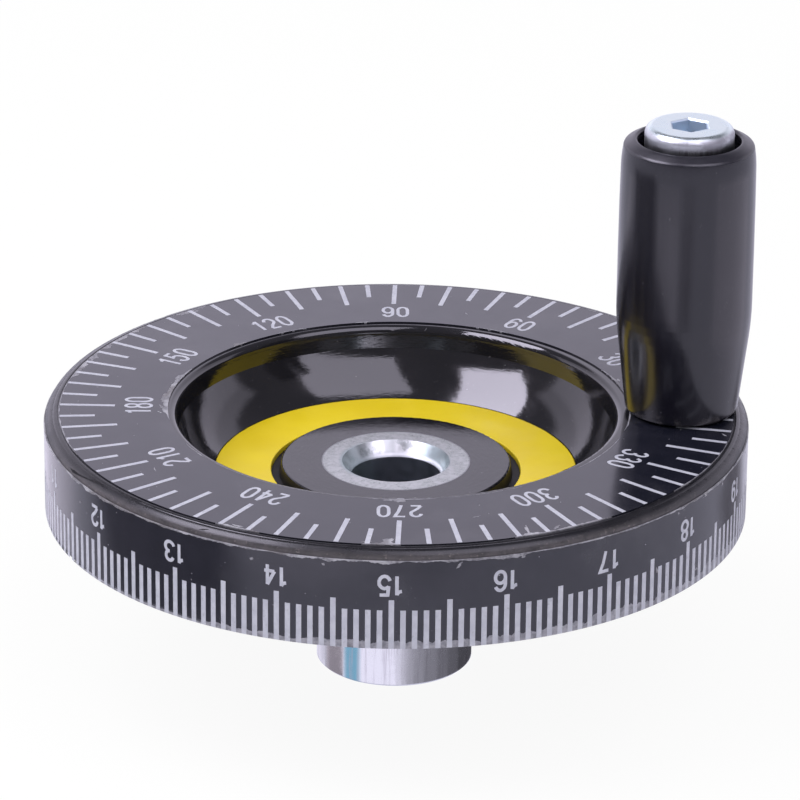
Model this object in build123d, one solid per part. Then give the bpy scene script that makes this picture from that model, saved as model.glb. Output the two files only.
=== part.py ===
from build123d import *
import os

# Machine handwheel: a moulded phenolic wheel on a steel hub bush, with two printed film scales,
# a coloured ring let into its dish and a grip that turns on a shoulder screw.
# Frame: origin on the bore axis at the foot of the hub, +Z towards the handle, +X through the handle.

# ---- driving dimensions (mm) ----
wheel_diameter = 125.0       # over the rim scale
rim_height = 18.0            # dial face down to the foot of the rim
face_height = 48.4           # hub foot up to the dial face
film_thickness = 0.25        # both printed films
rim_round = 1.65             # outer edge of the face
rim_foot_round = 0.8

dial_width = 18.9            # face film, edge of the face to its hole
dial_inset = 2.65            # rim scale to the edge of the face film
dial_hole_offset = 0.4       # the hole of the film is cut a little off centre, towards the handle

dish_lip_band = 1.85         # hole of the face film to the dish's wall
dish_lip_round = 1.2
dish_wall_drop = 4.3         # face down to the crease at the foot of the dish's wall
dish_wall_slope = 0.4        # how far the wall runs in over its drop
bowl_sag = 0.75              # how hollow the bowl is, across its chord

ring_width = 10.05           # of the coloured ring, across its band
ring_drop = 11.75            # face down to the top of the coloured ring
ring_thickness = 1.35
ring_edge_round = 0.2
ring_clearance = 0.1         # ring to its seat, inside and outside

boss_wall = 6.4              # moulding round the top of the bush
boss_drop = 10.4             # face down to the top of the hub boss
boss_edge_round = 0.35
boss_draft = 0.4             # spread of the boss's side down to the groove
groove_drop = 12.6           # face down to the floor of the groove round the boss
groove_width = 1.35          # foot of the boss's side to the seat of the coloured ring

bush_edge = 0.7              # chamfer at the top of the bush, which the moulding covers
bush_foot_edge = 0.4
bore_radius = 8.0
bush_wall = 6.0
countersink_width = 1.6      # mouth of the countersink beyond the bore
countersink_depth = 2.7
bore_foot_edge = 0.8
bush_groove_depth = 1.2      # ring groove that locks the bush in the moulding
bush_groove_width = 3.0
bush_groove_below = 4.0      # top of the bush to the groove
bush_key_count = 6           # slots that stop the bush turning in the moulding
bush_key_radius = 1.3

web_thickness = 4.5          # under the coloured ring
hub_skirt_wall = 5.0         # back boss of the moulding, round the bush
hub_skirt_length = 6.0       # below the back of the web
hub_skirt_draft = 1.0
hub_skirt_blend = 2.5        # hollow round between the back boss and the web
hub_skirt_edge_round = 1.0

channel_ceiling = 7.0        # face down to the ceiling of the finger channel
ripple_count = 16            # finger hollows round the back of the rim
ripple_wall = 3.4            # moulding left behind the deepest hollow
ripple_radius = 7.2          # of each hollow
ripple_depth = 3.2           # hollows below the ridges between them
ripple_blend = 3.0
channel_round = 1.5          # ceiling to rim wall and to core
core_edge_round = 1.0        # back of the bowl to the web
core_wall = 5.2              # moulding under the bowl, level with its crease
core_lean = 6.6              # how far the back of the bowl runs in, ceiling to web

handle_inset = 12.0          # rim scale to handle axis
lug_wall = 3.4               # moulding round the insert, inside the finger channel
lug_floor = 2.25             # moulding under the insert
lug_draft = 0.4
lug_edge_round = 1.2

insert_land = 1.0            # the insert's top beyond the shoulder that seats on it
insert_end_room = 2.0        # below the tip of the thread
insert_groove_depth = 0.8
insert_groove_width = 3.0
thread_radius = 3.594        # pitch radius of M8, threads left plain
thread_length = 12.0
thread_tip_edge = 0.8

shoulder_radius = 6.0
head_overhang = 1.85         # screw head beyond its shoulder
head_height = 6.0
head_edge_round = 0.95
head_foot_edge = 0.3
socket_across_flats = 6.0
socket_depth = 4.0
socket_mouth_edge = 0.3      # chamfer round the mouth of the socket
socket_turn = 30.0           # degrees, a corner of the socket from +X
dial_shoulder_clearance = 0.5    # hole in the face film round the shoulder

grip_length = 49.8
grip_top_wall = 2.8          # round the counterbore
grip_swell = 0.15            # thickest part beyond the top
grip_base_wall = 3.875       # round the bore, at the foot
grip_taper_length = 14.0     # straight taper from the base
grip_swell_height = 20.3     # where the grip is thickest
grip_top_round = 2.2
grip_base_round = 0.9
grip_radial_clearance = 0.075
grip_foot_clearance = 0.35   # grip to dial
grip_head_clearance = 0.3    # grip to the underside of the screw head
head_side_clearance = 1.15   # screw head to the side of the counterbore
counterbore_draft = 0.1
counterbore_mouth_round = 0.5
head_stand_out = 3.1         # screw head above the top of the grip

# ---- heights and radii worked out from them ----
bush_radius = bore_radius + bush_wall
countersink_radius = bore_radius + countersink_width
boss_radius = bush_radius + boss_wall
boss_foot_radius = boss_radius + boss_draft
seat_inner_radius = boss_foot_radius + groove_width
ring_inner_radius = seat_inner_radius + ring_clearance
ring_outer_radius = ring_inner_radius + ring_width
seat_outer_radius = ring_outer_radius + ring_clearance
hub_skirt_radius = bush_radius + hub_skirt_wall
insert_radius = shoulder_radius + insert_land
insert_length = thread_length + insert_end_room
lug_radius = insert_radius + lug_wall
head_radius = shoulder_radius + head_overhang
counterbore_radius = head_radius + head_side_clearance
grip_bore_radius = shoulder_radius + grip_radial_clearance
grip_base_radius = grip_bore_radius + grip_base_wall
grip_top_radius = counterbore_radius + grip_top_wall
grip_radius = grip_top_radius + grip_swell
rim_radius = wheel_diameter / 2
handle_radius = rim_radius - handle_inset
dish_wall_inset = dial_inset + dial_width + dish_lip_band
body_radius = rim_radius - film_thickness
face_z = face_height - film_thickness
rim_foot_z = face_height - rim_height
bush_top_z = face_height - boss_drop
ring_top_z = face_height - ring_drop
ring_seat_z = ring_top_z - ring_thickness
groove_z = face_height - groove_drop
crease_z = face_height - dish_wall_drop
web_back_z = ring_seat_z - web_thickness
ceiling_z = face_height - channel_ceiling
skirt_foot_z = web_back_z - hub_skirt_length
wall_top_radius = rim_radius - dish_wall_inset
crease_radius = wall_top_radius - dish_wall_slope
insert_foot_z = face_z - insert_length
lug_foot_z = insert_foot_z - lug_floor
grip_base_z = face_height + grip_foot_clearance
grip_top_z = grip_base_z + grip_length
head_top_z = grip_top_z + head_stand_out
head_foot_z = head_top_z - head_height
counterbore_z = head_foot_z - grip_head_clearance
handle_place = Location((handle_radius, 0, 0))


def turned(outline):
    """Solid of revolution about Z of a closed outline drawn in X and Z."""
    return revolve(Plane.XZ * make_face(outline), Axis.Z)


def turned_points(points):
    """The same for an outline of straight lines through (radius, height) points."""
    return turned(Polyline(*points, close=True))


def round_corners(face, rounds):
    """The outline face with each corner at a (radius, height) place rounded by its own radius."""
    for place, radius in rounds:
        corner = face.vertices().sort_by_distance(Vector(*place))[0]
        face = fillet(corner, radius)
    return face


def turned_rounded(points, rounds):
    """Solid of revolution of straight lines through (radius, height) points, some corners rounded."""
    outline = make_face(Polyline(*points, close=True))
    return revolve(Plane.XZ * round_corners(outline, rounds), Axis.Z)


def hub_bush():
    top, foot = bush_top_z, 0.0
    body = turned_points([
        (bore_radius, foot + bore_foot_edge),
        (bore_radius + bore_foot_edge, foot),
        (bush_radius - bush_foot_edge, foot),
        (bush_radius, foot + bush_foot_edge),
        (bush_radius, top - bush_edge),
        (bush_radius - bush_edge, top),
        (countersink_radius, top),
        (bore_radius, top - countersink_depth),
    ])
    return body - bush_locks()


def bush_locks():
    """The groove and the slots in the outside of the bush that the moulding fills."""
    groove_top = bush_top_z - bush_groove_below
    groove_foot = groove_top - bush_groove_width
    inner = bush_radius - bush_groove_depth
    outer = bush_radius + bush_groove_depth
    locks = turned_points([
        (inner, groove_foot), (outer, groove_foot), (outer, groove_top), (inner, groove_top),
    ])
    slot_length = groove_foot - (web_back_z - bush_groove_width)
    slot = Cylinder(bush_key_radius, slot_length, align=(Align.CENTER, Align.CENTER, Align.MAX))
    for place in PolarLocations(bush_radius, bush_key_count):
        locks += Location((0, 0, groove_foot)) * place * slot
    return locks


def bush_envelope():
    """The room that the bush takes in the moulding."""
    top = bush_top_z
    body = turned_points([
        (0, 0), (bush_radius, 0), (bush_radius, top - bush_edge), (bush_radius - bush_edge, top), (0, top),
    ])
    return body - bush_locks()


def handle_insert():
    top, foot = face_z, insert_foot_z
    body = turned_points([
        (thread_radius, foot), (insert_radius, foot), (insert_radius, top), (thread_radius, top),
    ])
    return handle_place * (body - insert_groove())


def insert_groove():
    middle = (face_z + insert_foot_z) / 2
    low, high = middle - insert_groove_width / 2, middle + insert_groove_width / 2
    inner, outer = insert_radius - insert_groove_depth, insert_radius + insert_groove_depth
    return turned_points([(inner, low), (outer, low), (outer, high), (inner, high)])


def insert_envelope():
    """The room that the insert and the screw's thread take in the moulding."""
    body = turned_points([
        (0, insert_foot_z), (insert_radius, insert_foot_z), (insert_radius, face_z), (0, face_z),
    ])
    return handle_place * (body - insert_groove())


def wheel_top():
    """The wheel as a solid of revolution: face, dish, ring seat, hub boss and plain flat back."""
    foot = Vector(seat_outer_radius, ring_top_z)
    crease = Vector(crease_radius, crease_z)
    chord = crease - foot
    hollow = Vector(chord.Y, -chord.X).normalized() * bowl_sag
    middle = (foot + crease) * 0.5 + hollow
    inside = Polyline(
        (0, rim_foot_z), (0, bush_top_z), (boss_radius, bush_top_z), (boss_foot_radius, groove_z),
        (seat_inner_radius, groove_z), (seat_inner_radius, ring_seat_z),
        (seat_outer_radius, ring_seat_z), (seat_outer_radius, ring_top_z),
    )
    bowl = ThreePointArc(foot, middle, crease)
    outside = Polyline(
        (crease_radius, crease_z), (wall_top_radius, face_z), (body_radius, face_z),
        (body_radius, rim_foot_z), (0, rim_foot_z),
    )
    outline = round_corners(make_face(inside + bowl + outside), [
        ((boss_radius, bush_top_z), boss_edge_round),
        ((wall_top_radius, face_z), dish_lip_round),
        ((body_radius, face_z), rim_round),
        ((body_radius, rim_foot_z), rim_foot_round),
    ])
    return revolve(Plane.XZ * outline, Axis.Z)


def finger_channel():
    """What is hollowed out behind the rim: a channel with a rippled outer wall, round a core and a lug."""
    deepest = body_radius - ripple_wall
    ridge_radius = deepest - ripple_depth
    hollow_place = deepest - ripple_radius
    ripple = Circle(ridge_radius)
    for place in PolarLocations(hollow_place, ripple_count):
        ripple += place * Circle(ripple_radius)
    ripple = fillet(ripple.vertices(), ripple_blend)
    depth = ceiling_z - rim_foot_z
    channel = Location((0, 0, rim_foot_z)) * extrude(ripple, depth)
    channel = fillet(channel.faces().sort_by(Axis.Z)[-1].edges(), channel_round)
    return channel - bowl_core() - handle_lug()


def bowl_core():
    """What the finger channel leaves under the bowl, hollow-rounded where it meets the ceiling."""
    top_radius = crease_radius + core_wall
    foot_radius = top_radius - core_lean
    flange_radius = top_radius + 2 * channel_round
    above = ceiling_z + channel_round
    return turned_rounded(
        [
            (0, web_back_z), (foot_radius, web_back_z), (top_radius, ceiling_z),
            (flange_radius, ceiling_z), (flange_radius, above), (0, above),
        ],
        [((foot_radius, web_back_z), core_edge_round), ((top_radius, ceiling_z), channel_round)],
    )


def handle_lug():
    """The boss that the handle's insert is moulded into."""
    foot_radius = lug_radius - lug_draft
    lug = turned_rounded(
        [(0, lug_foot_z), (foot_radius, lug_foot_z), (lug_radius, ceiling_z), (0, ceiling_z)],
        [((foot_radius, lug_foot_z), lug_edge_round)],
    )
    return handle_place * lug


def hub_skirt():
    """The boss of the moulding round the bush at the back, blended into the web."""
    foot_radius = hub_skirt_radius - hub_skirt_draft
    flange_radius = hub_skirt_radius + 2 * hub_skirt_blend
    inside_web = web_back_z + web_thickness / 2
    return turned_rounded(
        [
            (0, skirt_foot_z), (foot_radius, skirt_foot_z), (hub_skirt_radius, web_back_z),
            (flange_radius, web_back_z), (flange_radius, inside_web), (0, inside_web),
        ],
        [
            ((foot_radius, skirt_foot_z), hub_skirt_edge_round),
            ((hub_skirt_radius, web_back_z), hub_skirt_blend),
        ],
    )


def wheel_moulding():
    body = wheel_top() - finger_channel() + hub_skirt()
    return body - bush_envelope() - insert_envelope()


def accent_ring():
    return turned_rounded(
        [
            (ring_inner_radius, ring_seat_z), (ring_outer_radius, ring_seat_z),
            (ring_outer_radius, ring_top_z), (ring_inner_radius, ring_top_z),
        ],
        [
            ((ring_inner_radius, ring_top_z), ring_edge_round),
            ((ring_outer_radius, ring_top_z), ring_edge_round),
        ],
    )


def face_dial():
    outer = rim_radius - dial_inset
    film = Circle(outer)
    film -= Location((dial_hole_offset, 0)) * Circle(outer - dial_width)
    film -= handle_place * Circle(shoulder_radius + dial_shoulder_clearance)
    return Location((0, 0, face_z)) * extrude(film, film_thickness)


def rim_scale():
    top = face_z - rim_round
    bend_z = rim_foot_z + rim_foot_round
    bend_radius = body_radius - rim_foot_round
    outer_bend = rim_foot_round + film_thickness
    side = Polyline((body_radius, bend_z), (body_radius, top), (rim_radius, top), (rim_radius, bend_z))
    outer = CenterArc((bend_radius, bend_z), outer_bend, 0, -45)
    inner = CenterArc((bend_radius, bend_z), rim_foot_round, -45, 45)
    edge = Line(outer @ 1, inner @ 0)
    return turned(side + outer + edge + inner)


def handle_screw():
    seat_z = face_z
    body = turned_points([
        (0, seat_z - thread_length), (thread_radius - thread_tip_edge, seat_z - thread_length),
        (thread_radius, seat_z - thread_length + thread_tip_edge), (thread_radius, seat_z),
        (shoulder_radius, seat_z), (shoulder_radius, head_foot_z), (0, head_foot_z),
    ])
    body += turned_rounded(
        [
            (0, head_foot_z), (head_radius - head_foot_edge, head_foot_z),
            (head_radius, head_foot_z + head_foot_edge), (head_radius, head_top_z), (0, head_top_z),
        ],
        [((head_radius, head_top_z), head_edge_round)],
    )
    return handle_place * (body - key_socket())


def key_socket():
    """The hexagon socket in the top of the head, with its chamfered mouth."""
    half = socket_across_flats / 2
    turn = Rot(0, 0, socket_turn)
    socket = turn * RegularPolygon(half, 6, major_radius=False, rotation=0)
    mouth = turn * RegularPolygon(half + socket_mouth_edge, 6, major_radius=False, rotation=0)
    body = Location((0, 0, head_top_z - socket_depth)) * extrude(socket, socket_depth)
    return body + Location((0, 0, head_top_z)) * extrude(mouth, -socket_mouth_edge, taper=45)


def handle_grip():
    base, top = grip_base_z, grip_top_z
    taper_share = 2 * grip_taper_length / (grip_taper_length + grip_swell_height)
    taper_radius = grip_base_radius + (grip_radius - grip_base_radius) * taper_share
    taper_end = Vector(taper_radius, base + grip_taper_length)
    base_corner = Vector(grip_base_radius, base)
    swell = Vector(grip_radius, base + grip_swell_height)
    neck = Vector(grip_top_radius, top - grip_top_round)
    inside = Polyline(
        neck, (grip_top_radius, top), (counterbore_radius, top),
        (counterbore_radius - counterbore_draft, counterbore_z), (grip_bore_radius, counterbore_z),
        (grip_bore_radius, base),
        (grip_base_radius, base), taper_end,
    )
    hip = TangentArc(taper_end, swell, tangent=taper_end - base_corner)
    side = TangentArc(swell, neck, tangent=hip % 1)
    outline = round_corners(make_face(inside + hip + side), [
        ((grip_top_radius, top), grip_top_round),
        ((counterbore_radius, top), counterbore_mouth_round),
        ((grip_base_radius, base), grip_base_round),
    ])
    return handle_place * revolve(Plane.XZ * outline, Axis.Z)


parts = {
    "wheel_moulding": wheel_moulding,
    "face_dial": face_dial,
    "rim_scale": rim_scale,
    "accent_ring": accent_ring,
    "hub_bush": hub_bush,
    "handle_insert": handle_insert,
    "handle_screw": handle_screw,
    "handle_grip": handle_grip,
}
os.makedirs("parts", exist_ok=True)
for name, make in parts.items():
    export_step(make(), f"parts/{name}.step")
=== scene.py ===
import random
from math import atan, atan2, ceil, cos, degrees, hypot, pi, radians, sin, tan

import bpy
from mathutils import Matrix, Vector, geometry, noise

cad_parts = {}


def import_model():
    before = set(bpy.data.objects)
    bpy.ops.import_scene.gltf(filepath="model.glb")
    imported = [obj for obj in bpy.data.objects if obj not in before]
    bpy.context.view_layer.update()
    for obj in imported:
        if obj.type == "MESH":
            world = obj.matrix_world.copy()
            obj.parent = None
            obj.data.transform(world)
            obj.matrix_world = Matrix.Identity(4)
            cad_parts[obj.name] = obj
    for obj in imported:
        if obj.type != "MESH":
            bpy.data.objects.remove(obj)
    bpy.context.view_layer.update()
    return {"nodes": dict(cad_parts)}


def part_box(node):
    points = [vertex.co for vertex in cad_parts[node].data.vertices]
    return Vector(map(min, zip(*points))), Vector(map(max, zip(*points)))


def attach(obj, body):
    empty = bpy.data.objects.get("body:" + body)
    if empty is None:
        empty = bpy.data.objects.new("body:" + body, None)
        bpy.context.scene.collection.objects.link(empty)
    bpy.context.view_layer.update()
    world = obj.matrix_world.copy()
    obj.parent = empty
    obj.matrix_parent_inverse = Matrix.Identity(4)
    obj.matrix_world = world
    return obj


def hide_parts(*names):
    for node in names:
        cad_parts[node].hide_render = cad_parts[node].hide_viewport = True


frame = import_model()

# Looks of the machine handwheel: printed scales, wear, finishes, studio light and camera.
# Everything is in metres, in the frame's own axes: +Z up the bore, +X through the handle.

MM = 0.001

# ---- places, from the frame where its boxes give them ----
DIAL_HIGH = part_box("face_dial")[1]
RIM_LOW, RIM_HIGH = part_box("rim_scale")
GRIP_LOW, GRIP_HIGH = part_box("handle_grip")
SCREW_LOW, SCREW_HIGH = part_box("handle_screw")
FACE_Z = DIAL_HIGH.z  # top of the face film
DIAL_RADIUS = DIAL_HIGH.x  # outer edge of the face film
RIM_RADIUS = RIM_HIGH.x  # outside of the rim film
RIM_FOOT_Z = RIM_LOW.z
RIM_TOP_Z = RIM_HIGH.z
GRIP_TOP_Z = GRIP_HIGH.z
BUSH_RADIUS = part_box("hub_bush")[1].x
BOSS_TOP_Z = FACE_Z - 10.4 * MM
BOSS_RADIUS = 20.4 * MM
BORE_RADIUS = 8.0 * MM
CONE_RADIUS = 9.6 * MM  # mouth of the bore's countersink
HANDLE_X = (GRIP_LOW.x + GRIP_HIGH.x) / 2
HEAD_RADIUS = (SCREW_HIGH.x - SCREW_LOW.x) / 2
HEAD_TOP_Z = SCREW_HIGH.z
SOCKET_RADIUS = 3.8 * MM  # to the corners of the key socket's chamfer
FILM = 0.25 * MM  # thickness of both films
RIM_ROUND = 1.65 * MM  # round of the outer edge

# ---- printed marks ----
PRINT_PROUD = 0.012 * MM
PRINT_SUNK = 0.02 * MM
FACE_TICK_STEP = 5  # degrees
FACE_LONG_TICK_STEP = 10
FACE_NUMBER_STEP = 30
FACE_TICK_WIDTH = 0.85 * MM
FACE_TICK_OUTER = DIAL_RADIUS - 0.15 * MM
FACE_LONG_TICK_INNER = 49.94 * MM
FACE_SHORT_TICK_INNER = 53.5 * MM
FACE_TICK_LEAN = -1.9  # degrees, each mark about its own middle
FACE_TURN = -0.03  # degrees, the ticks on the wheel
FACE_NUMBER_TURN = 0.07  # degrees, the numbers, printed in a pass of their own
FACE_NUMBER_SHIFT = (0.19 * MM, -0.08 * MM)
FACE_DIGIT_HEIGHT = 5.1 * MM
FACE_DIGIT_FOOT = 43.4 * MM  # radius of the digits' feet
FACE_DIGIT_ADVANCE = 2.75 * MM
RIM_TICK_COUNT = 200
RIM_LONG_TICK_EVERY = 5
RIM_TICK_WIDTH = 0.93 * MM
RIM_SHORT_TICK_TOP = FACE_Z - 10.9 * MM
RIM_LONG_TICK_TOP = FACE_Z - 9.0 * MM
RIM_NUMBER_COUNT = 20
RIM_NUMBER_15_ANGLE = 268.9  # degrees, where 15 stands
RIM_DIGIT_HEIGHT = 4.05 * MM
RIM_DIGIT_FOOT_Z = FACE_Z - 4.4 * MM  # the digits stand on their heads
RIM_DIGIT_ADVANCE = 2.42 * MM
# The scale strip leans: how much higher its marks stand all round, and how much more at 180 degrees.
RIM_NUMBER_RISE = (0.08 * MM, 0.33 * MM)
RIM_TICK_RISE = (0.0, 0.14 * MM)
DIGIT_WIDTH = 2.35 * MM
DIGIT_STROKE = 0.6 * MM
STROKE_STEP = 0.4 * MM  # longest straight piece of a stroke
MITRE_LEAST = 0.5  # keeps the points of sharp mitres short
SAME_POINT = 1e-7  # a stroke whose ends lie this close is closed
WELD = 1e-8  # corners of overlapping shapes this close become one

# ---- film wear ----
HOLE_RADIUS = 40.95 * MM  # hole of the face film
HOLE_OFFSET = 0.4 * MM  # of its centre, towards the handle
WEAR_PROUD = 0.006 * MM
WEAR_LAYER = 0.001 * MM  # between patches that overlap: level ones shade each other
WEAR_SUNK = 0.22 * MM  # a torn edge goes down the side of the film too
WEAR_STEP = 0.12 * MM  # along a torn edge
# Waves of a torn edge: their size, how many to a millimetre, and their place in the noise.
TEAR_WAVES = ((0.95, 0.55, 0), (0.4, 1.9, 4), (0.2, 5.0, 9))
TEAR_USUAL = 0.62  # shares of the depth given: a torn edge's usual reach
TEAR_LEAST = 0.07
TEAR_TAPER = 6  # the ends get thin over a sixth of the length
TEAR_TIP = 0.03
HAZE_RAGGED = 0.35
GOUGE_PROUD = 0.03 * MM
FLAKE_POINTS = 18
FLAKE_RAGGED = 0.9
FLAKE_WAVES = 1.7
# Lacquer beside the face film: millimetres out from the film's edge and down from its top.
BEAD_PROFILE = ((0.2, 0.6), (1.15, 0.6), (1.15, 0.31), (0.8, 0.2), (0.46, 0.12), (0.27, 0.13), (0.2, 0.27))
BEAD_STEPS = 360
SPECK_COUNT = 90
SPECK_SEED = 15
SPECK_SIZES = (0.1, 0.24)  # millimetres
SPECK_SHAPE = 0.8  # width to length
SPECK_LEAST_IN = 0.5  # millimetres from the film's edge


# ---- mesh helpers ----

scene = bpy.context.scene
nodes = frame["nodes"]


def add_object(name, data):
    thing = bpy.data.objects.new(name, data)
    scene.collection.objects.link(thing)
    return thing


def add_faces(name, vertices, faces):
    mesh = bpy.data.meshes.new(name)
    mesh.from_pydata([tuple(v) for v in vertices], [], faces)
    return add_object(name, mesh)


def add_mesh(name, pile):
    """An object that rides on the wheel, made of a pile: a list of vertices and a list of faces."""
    piece = add_faces(name, *pile)
    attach(piece, "wheel")
    return piece


def lathe(profile, steps, axis_x=0.0):
    """A pile made of a closed profile of radii and heights, turned about an upright axis."""
    vertices, faces = [], []
    count = len(profile)
    for i in range(steps):
        turn = 2 * pi * i / steps
        vertices.extend((axis_x + r * cos(turn), r * sin(turn), z) for r, z in profile)
        here, after = i * count, (i + 1) % steps * count
        for k in range(count):
            m = (k + 1) % count
            faces.append([here + k, after + k, after + m, here + m])
    return vertices, faces


def plate(shapes, place, top, bottom, pile):
    """Adds the union of flat shapes as a thin closed plate; place(u, v, w) puts a point on the part."""
    vertices, faces = pile
    points = []
    loops = []
    for shape in shapes:
        loops.append(list(range(len(points), len(points) + len(shape))))
        points.extend(Vector(p) for p in shape)
    flat, _, triangles, _, _, sources = geometry.delaunay_2d_cdt(points, [], loops, 0, WELD)
    triangles = [triangle for triangle, source in zip(triangles, sources) if source]
    base = len(vertices)
    count = len(flat)
    vertices.extend(place(p.x, p.y, top) for p in flat)
    vertices.extend(place(p.x, p.y, bottom) for p in flat)
    edges = set()
    for triangle in triangles:
        corners = list(triangle)
        a, b, c = (flat[i] for i in corners)
        if (b - a).cross(c - a) < 0:
            corners.reverse()
        faces.append([base + i for i in corners])
        faces.append([base + count + i for i in reversed(corners)])
        edges.update(zip(corners, corners[1:] + corners[:1]))
    for start, end in edges:
        if (end, start) not in edges:
            faces.append([base + end, base + start, base + count + start, base + count + end])


def on_ring(angle, reach, height, axis_x=0.0):
    turn = radians(angle)
    return Vector((axis_x + reach * cos(turn), reach * sin(turn), height))


def on_face(angle, radius, shift=(0, 0)):
    """Places a point by u, clockwise along the dial, and v, outwards, on the dial face."""
    turn = radians(angle)
    out = Vector((cos(turn), sin(turn), 0))
    side = Vector((sin(turn), -cos(turn), 0))
    return lambda u, v, w: out * (radius + v) + side * u + Vector((*shift, FACE_Z + w))


def leaning(angle, rise):
    """How much higher a mark of the leaning scale strip stands."""
    return rise[0] - rise[1] * cos(radians(angle))


def on_rim(angle, height):
    """Places a point by u, clockwise round the rim, and v, downwards, on the rim film."""
    return lambda u, v, w: on_ring(angle - degrees(u / RIM_RADIUS), RIM_RADIUS + w, height - v)


# ---- digits ----

def arc(cx, cy, rx, ry, start, end, steps=12):
    """Points along an ellipse, angles in degrees."""
    turns = [radians(start + (end - start) * i / steps) for i in range(steps + 1)]
    return [(cx + rx * cos(t), cy + ry * sin(t)) for t in turns]


def digit_strokes():
    """The middle lines of each digit's strokes, in a box one wide and one high."""
    six_body = arc(0.5, 0.31, 0.5, 0.31, 180, 540, 24)
    six_back = [(0, 0.31)] + arc(0.5, 0.67, 0.5, 0.33, 180, 22)
    return {
        "0": [arc(0.5, 0.68, 0.5, 0.32, 0, 180) + arc(0.5, 0.32, 0.5, 0.32, 180, 360) + [(1, 0.68)]],
        "1": [[(0.68, 0), (0.68, 1)], arc(0.2, 1.03, 0.48, 0.23, -90, -8, 6)],
        "2": [arc(0.5, 0.71, 0.5, 0.29, 172, -28) + [(0.42, 0.32), (0.03, 0.03)], [(0, 0), (1, 0)]],
        "3": [arc(0.47, 0.75, 0.45, 0.25, 165, -90), arc(0.47, 0.26, 0.53, 0.26, 90, -168)],
        "4": [[(0.72, 1), (0, 0.27)], [(0, 0.27), (1.05, 0.27)], [(0.72, 1), (0.72, -0.05)]],
        "5": [[(0.94, 1), (0.17, 1), (0.08, 0.52)], arc(0.47, 0.33, 0.53, 0.33, 138, -165)],
        "6": [six_body, six_back],
        "7": [[(0, 1), (1, 1), (0.62, 0.52), (0.36, -0.05)]],
        "8": [arc(0.5, 0.76, 0.42, 0.24, 0, 360, 24), arc(0.5, 0.26, 0.5, 0.27, 0, 360, 24)],
        "9": [[(1 - x, 1 - y) for x, y in stroke] for stroke in (six_body, six_back)],
    }


def stroke_quads(line, width):
    """One quad for each short piece of a line, with mitred joints."""
    points = [Vector(line[0])]
    for end in map(Vector, line[1:]):
        start = points[-1]
        pieces = max(1, ceil((end - start).length / STROKE_STEP))
        points.extend(start.lerp(end, i / pieces) for i in range(1, pieces + 1))
    closed = (points[0] - points[-1]).length < SAME_POINT
    if closed:
        points.pop()
    count = len(points)
    sides = []
    for i, point in enumerate(points):
        ways = []
        if i or closed:
            ways.append((point - points[i - 1]).normalized())
        if i < count - 1 or closed:
            ways.append((points[(i + 1) % count] - point).normalized())
        along = sum(ways, Vector((0, 0))).normalized()
        across = Vector((-along.y, along.x))
        spread = max(MITRE_LEAST, abs(along.dot(ways[0])))
        sides.append((point + across * width / 2 / spread, point - across * width / 2 / spread))
    last = count if closed else count - 1
    return [[*sides[i], *sides[(i + 1) % count][::-1]] for i in range(last)]


def number_shapes(text, height, advance):
    """The quads of a printed number, centred on u = 0 with its foot at v = 0."""
    strokes = digit_strokes()
    width = DIGIT_WIDTH - DIGIT_STROKE
    shapes = []
    for index, digit in enumerate(text):
        left = (index - (len(text) - 1) / 2) * advance - width / 2
        for stroke in strokes[digit]:
            line = [(left + x * width, DIGIT_STROKE / 2 + y * (height - DIGIT_STROKE)) for x, y in stroke]
            shapes.extend(stroke_quads(line, DIGIT_STROKE))
    return shapes


def bar(width, length, lean=0.0):
    """A straight mark from v = 0 to v = length, turned about its middle."""
    turn = Matrix.Rotation(radians(lean), 2)
    middle = Vector((0, length / 2))
    corners = [Vector((-width / 2, 0)), Vector((width / 2, 0)),
               Vector((width / 2, length)), Vector((-width / 2, length))]
    return [middle + turn @ (corner - middle) for corner in corners]


# ---- printed scales ----

def face_ticks():
    for angle in range(0, 360, FACE_TICK_STEP):
        inner = FACE_SHORT_TICK_INNER if angle % FACE_LONG_TICK_STEP else FACE_LONG_TICK_INNER
        mark = bar(FACE_TICK_WIDTH, FACE_TICK_OUTER - inner, FACE_TICK_LEAN)
        yield [mark], on_face(angle + FACE_TURN, inner)


def face_numbers():
    for angle in range(0, 360, FACE_NUMBER_STEP):
        place = on_face(angle + FACE_NUMBER_TURN, FACE_DIGIT_FOOT, FACE_NUMBER_SHIFT)
        yield number_shapes(str(angle), FACE_DIGIT_HEIGHT, FACE_DIGIT_ADVANCE), place


def rim_ticks():
    for index in range(RIM_TICK_COUNT):
        angle = RIM_NUMBER_15_ANGLE + index * 360 / RIM_TICK_COUNT
        top = RIM_SHORT_TICK_TOP if index % RIM_LONG_TICK_EVERY else RIM_LONG_TICK_TOP
        top += leaning(angle, RIM_TICK_RISE)
        yield [bar(RIM_TICK_WIDTH, top - RIM_FOOT_Z)], on_rim(angle, top)


def rim_numbers():
    for number in range(RIM_NUMBER_COUNT):
        angle = RIM_NUMBER_15_ANGLE + (number - 15) * 360 / RIM_NUMBER_COUNT
        place = on_rim(angle, RIM_DIGIT_FOOT_Z + leaning(angle, RIM_NUMBER_RISE))
        yield number_shapes(str(number), RIM_DIGIT_HEIGHT, RIM_DIGIT_ADVANCE), place


def printed(name, marks):
    """The printed marks of one kind, each given by its shapes and its place on the part."""
    pile = ([], [])
    for shapes, place in marks:
        plate(shapes, place, PRINT_PROUD, -PRINT_SUNK, pile)
    return add_mesh(name, pile)


# ---- film wear ----

# Each edge places a point by its angle, v, away from the edge, and w, out of the surface.

def hole_edge(angle, v, w):
    """The edge of the face film's hole, v outwards."""
    return on_ring(angle, HOLE_RADIUS + v, FACE_Z + w, HOLE_OFFSET)


def dial_edge(angle, v, w):
    """The outer edge of the face film, v inwards."""
    return on_ring(angle, DIAL_RADIUS - v, FACE_Z + w)


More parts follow.
